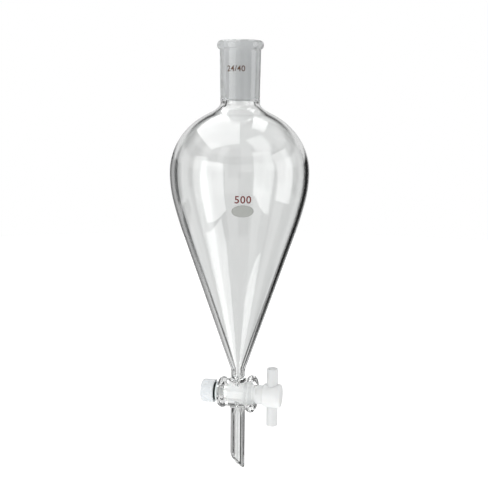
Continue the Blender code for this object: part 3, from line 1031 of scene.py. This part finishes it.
def make_floor():
    """A pale floor far below the hanging funnel."""
    bm = bmesh.new()
    bmesh.ops.create_circle(bm, cap_ends=True, segments=96, radius=4.0)
    bmesh.ops.translate(bm, vec=(0, 0, FLOOR_Z), verts=bm.verts)
    mesh = bpy.data.meshes.new("floor")
    bm.to_mesh(mesh)
    bm.free()
    floor = link("floor", mesh)
    material, tree, shader = new_material("pale_floor")
    grain = noise(tree, 8.0, 4.0)
    paint(tree, shader, grain, (0.92, 0.92, 0.92), (0.95, 0.95, 0.95))
    tree.links.new(remap(tree, grain, 0.75, 0.85), shader.inputs["Roughness"])
    shader.inputs["Emission Color"].default_value = (1, 1, 1, 1)
    shader.inputs["Emission Strength"].default_value = 0.5
    mesh.materials.append(material)
    floor.visible_transmission = False
    floor.visible_glossy = False


ROOM = 0.74
ROOM_FOR_MATT = 0.80
FLAG_SHADE = 0.02

# Black flags between the white walls: from and to azimuth, from and to elevation, softness of the
# edges, strength. Azimuth runs to the right from straight ahead of the camera.
FLAGS = (
    (17.5, 47.0, -90.0, 3.5, 1.2, 1.0),
    (-24.0, -14.5, -90.0, 3.5, 1.0, 1.0),
    (-42.0, -24.0, -90.0, 3.5, 1.0, 0.4),
    (-80.0, -42.0, -25.5, -19.5, 1.0, 1.0),
    (-66.0, -42.0, -17.0, 6.0, 1.5, 0.95),
    (-111.0, -88.0, -45.0, 6.0, 1.5, 0.95),
    (-156.0, -133.0, -45.0, 6.0, 1.5, 0.95),
    (-400.0, -178.0, -45.0, 6.0, 1.5, 0.95),
    (159.0, 400.0, -45.0, 6.0, 1.5, 0.95),
    (114.0, 137.0, -45.0, 6.0, 1.5, 0.95),
    (69.0, 92.0, -45.0, 6.0, 1.5, 0.95),
    (-400.0, 400.0, 20.0, 35.0, 2.0, 0.9),
)


def math_node(tree, operation, *values):
    node = tree.nodes.new("ShaderNodeMath")
    node.operation = operation
    for socket, value in zip(node.inputs, values):
        if isinstance(value, (int, float)):
            socket.default_value = value
        else:
            tree.links.new(value, socket)
    return node.outputs["Value"]


def ramp_up(tree, value, at, soft):
    """Goes from 0 to 1 as value passes at."""
    node = tree.nodes.new("ShaderNodeMapRange")
    node.interpolation_type = "SMOOTHSTEP"
    node.inputs["From Min"].default_value = at - soft
    node.inputs["From Max"].default_value = at + soft
    tree.links.new(value, node.inputs["Value"])
    return node.outputs["Result"]


def window(tree, value, low, high, soft):
    """1 between two angles in degrees and 0 outside them, with soft edges."""
    rise = ramp_up(tree, value, math.radians(low), math.radians(soft))
    fall = ramp_up(tree, value, math.radians(high), math.radians(soft))
    return math_node(tree, "SUBTRACT", rise, fall)


def chosen(tree, factor, light, other):
    """The light, or another strength for the rays that the factor names."""
    mix = tree.nodes.new("ShaderNodeMix")
    mix.data_type = "FLOAT"
    tree.links.new(factor, mix.inputs["Factor"])
    tree.links.new(light, mix.inputs["A"])
    mix.inputs["B"].default_value = other
    return mix.outputs["Result"]


def make_world():
    """A white room with black flags standing between its walls, which the glass's edges pick up.
    The camera itself sees plain white, and matt things are lit evenly."""
    world = bpy.data.worlds.new("studio")
    world.use_nodes = True
    bpy.context.scene.world = world
    tree = world.node_tree
    background = tree.nodes["Background"]
    place = tree.nodes.new("ShaderNodeTexCoord")
    turn = tree.nodes.new("ShaderNodeMapping")
    turn.vector_type = "POINT"
    turn.inputs["Rotation"].default_value = (0.0, 0.0, -VIEW_AZIMUTH)
    split = tree.nodes.new("ShaderNodeSeparateXYZ")
    tree.links.new(place.outputs["Generated"], turn.inputs["Vector"])
    tree.links.new(turn.outputs["Vector"], split.inputs["Vector"])
    azimuth = math_node(tree, "ARCTAN2", split.outputs["X"], split.outputs["Y"])
    elevation = math_node(tree, "ARCSINE", split.outputs["Z"])
    light = math_node(tree, "ADD", ROOM, 0.0)
    for left, right, low, high, soft, strength in FLAGS:
        across = window(tree, azimuth, left, right, soft)
        upright = window(tree, elevation, low, high, soft)
        cover = math_node(tree, "MULTIPLY", across, upright)
        through = math_node(tree, "MULTIPLY_ADD", cover, -strength, 1.0)
        light = math_node(tree, "MULTIPLY", light, through)
    light = math_node(tree, "MAXIMUM", light, FLAG_SHADE)
    path = tree.nodes.new("ShaderNodeLightPath")
    from_matt = math_node(tree, "MINIMUM", path.outputs["Diffuse Depth"], 1.0)
    light = chosen(tree, from_matt, light, ROOM_FOR_MATT)
    light = chosen(tree, path.outputs["Is Camera Ray"], light, 1.0)
    tree.links.new(light, background.inputs["Strength"])
    background.inputs["Color"].default_value = (1, 1, 1, 1)


def hide_behind_glass(data):
    """The lamp lights matt things and shows in reflections, but not straight through the glass."""
    data.use_nodes = True
    tree = data.node_tree
    path = tree.nodes.new("ShaderNodeLightPath")
    not_through = math_node(tree, "SUBTRACT", 1.0, path.outputs["Transmission Depth"])
    seen = math_node(tree, "MAXIMUM", path.outputs["Glossy Depth"], path.outputs["Diffuse Depth"])
    seen = math_node(tree, "MAXIMUM", seen, not_through)
    strength = math_node(tree, "MINIMUM", seen, 1.0)
    strength = math_node(tree, "MAXIMUM", strength, 0.0)
    tree.links.new(strength, tree.nodes["Emission"].inputs["Strength"])


def lamp(name, place, size, radiance, diffuse):
    """A flat lamp that the camera can't see, facing down its own Z axis."""
    data = bpy.data.lights.new(name, "AREA")
    data.shape = "RECTANGLE"
    data.size = size[0]
    data.size_y = size[1]
    data.energy = radiance * math.pi * size[0] * size[1]
    hide_behind_glass(data)
    obj = bpy.data.objects.new(name, data)
    obj.matrix_world = place
    obj.visible_camera = False
    obj.visible_diffuse = diffuse
    bpy.context.scene.collection.objects.link(obj)


def softbox(name, azimuth, elevation, distance, size, radiance, diffuse):
    """A lamp that faces the funnel, placed by its angle from the viewing side."""
    a = VIEW_AZIMUTH + math.radians(azimuth)
    e = math.radians(elevation)
    out = Vector((math.sin(a) * math.cos(e), -math.cos(a) * math.cos(e), math.sin(e)))
    place = Matrix.Translation(out * distance) @ out.to_track_quat("Z", "Y").to_matrix().to_4x4()
    lamp(name, place, size, radiance, diffuse)


def overhead(name, aside, beyond, height, size, radiance):
    """A level lamp above the funnel that only shows in the glass, placed from the viewing side."""
    turn = Matrix.Rotation(VIEW_AZIMUTH, 4, "Z")
    lamp(name, turn @ Matrix.Translation((aside, beyond, height)), size, radiance, False)


def make_lights():
    softbox("window_left", -46.0, -6.0, 1.5, (1.1, 1.7), 3.0, False)
    softbox("window_left_low", -56.0, -52.0, 1.5, (0.9, 0.8), 2.4, False)
    softbox("window_right", 80.0, 6.0, 1.5, (0.9, 1.6), 2.3, False)
    overhead("window_top", -0.60, 0.28, 1.25, (1.20, 2.05), 2.4)
    overhead("window_top_small", 0.45, 0.50, 1.25, (0.35, 0.80), 2.4)
    softbox("fill_left", -50.0, 35.0, 1.2, (0.8, 0.8), 0.8, True)


# ---------------------------------------------------------------- assembly

SPOT_AZIMUTH = math.radians(16.0)
SPOT_Z = 28.9 * MM
SPOT_HALF_WIDTH = 7.4 * MM
SPOT_HALF_HEIGHT = 4.3 * MM
VOLUME_HEIGHT = 5.0 * MM
VOLUME_WEIGHT = 0.10 * MM
VOLUME_ABOVE = 7.7 * MM
SIZE_HEIGHT = 3.9 * MM
SIZE_WEIGHT = 0.05 * MM
SIZE_AZIMUTH = math.radians(0.5)
SIZE_BELOW = 19.7 * MM


def assemble():
    clear = clear_glass_material()
    ground = ground_glass_material()
    glass = glass_funnel(clear, ground)
    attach(glass, "glass")
    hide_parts("ground_joint", "pear_bulb", "stopcock_barrel", "drip_stem")

    oval = enamel_material("grey_enamel", (0.33, 0.34, 0.32), (0.40, 0.41, 0.39), 0.7)
    spot = writing_spot(oval, SPOT_AZIMUTH, SPOT_Z, SPOT_HALF_WIDTH, SPOT_HALF_HEIGHT)
    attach(spot, "glass")
    red = enamel_material("red_enamel", (0.13, 0.008, 0.004), (0.20, 0.016, 0.008), 0.6)
    volume_at = (SPOT_AZIMUTH, SPOT_Z + VOLUME_ABOVE)
    volume = numerals("volume_figures", "500", VOLUME_HEIGHT, VOLUME_WEIGHT, *volume_at, 1.1, red)
    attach(volume, "glass")
    brown = enamel_material("brown_enamel", (0.10, 0.05, 0.03), (0.17, 0.09, 0.06), 0.6)
    size_at = (SIZE_AZIMUTH, RIM_Z - SIZE_BELOW)
    size = numerals("joint_figures", "24/40", SIZE_HEIGHT, SIZE_WEIGHT, *size_at, 1.05, brown)
    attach(size, "glass")

    round_x = (6.0, 0.05, 0.05)
    round_z = (0.05, 0.05, 6.0)
    white = ptfe_material("white_ptfe", (0.84, 0.85, 0.845), (0.88, 0.89, 0.885), 0.42, round_x)
    plug = stopcock_plug(white)
    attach(plug, "plug")
    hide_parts("stopcock_plug")
    # The handle bar is the same white PTFE as the plug, drawn darker: its lower tint is painted shade.
    satin = ptfe_material("handle_ptfe", (0.73, 0.74, 0.74), (0.77, 0.78, 0.78), 0.45, round_z)
    bar = handle_bar(satin)
    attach(bar, "plug")
    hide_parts("handle_bar")
    cool = ptfe_material("washer_ptfe", (0.76, 0.82, 0.82), (0.81, 0.86, 0.86), 0.4, round_x)
    disc = washer(cool)
    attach(disc, "plug")
    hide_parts("thrust_washer")
    seal = rubber_ring(rubber_material())
    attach(seal, "ring")
    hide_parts("o_ring")
    nut = tension_nut(nut_material())
    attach(nut, "nut")
    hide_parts("tension_nut")


assemble()
make_camera()
make_floor()
make_world()
make_lights()
bpy.context.scene.view_settings.view_transform = "Standard"
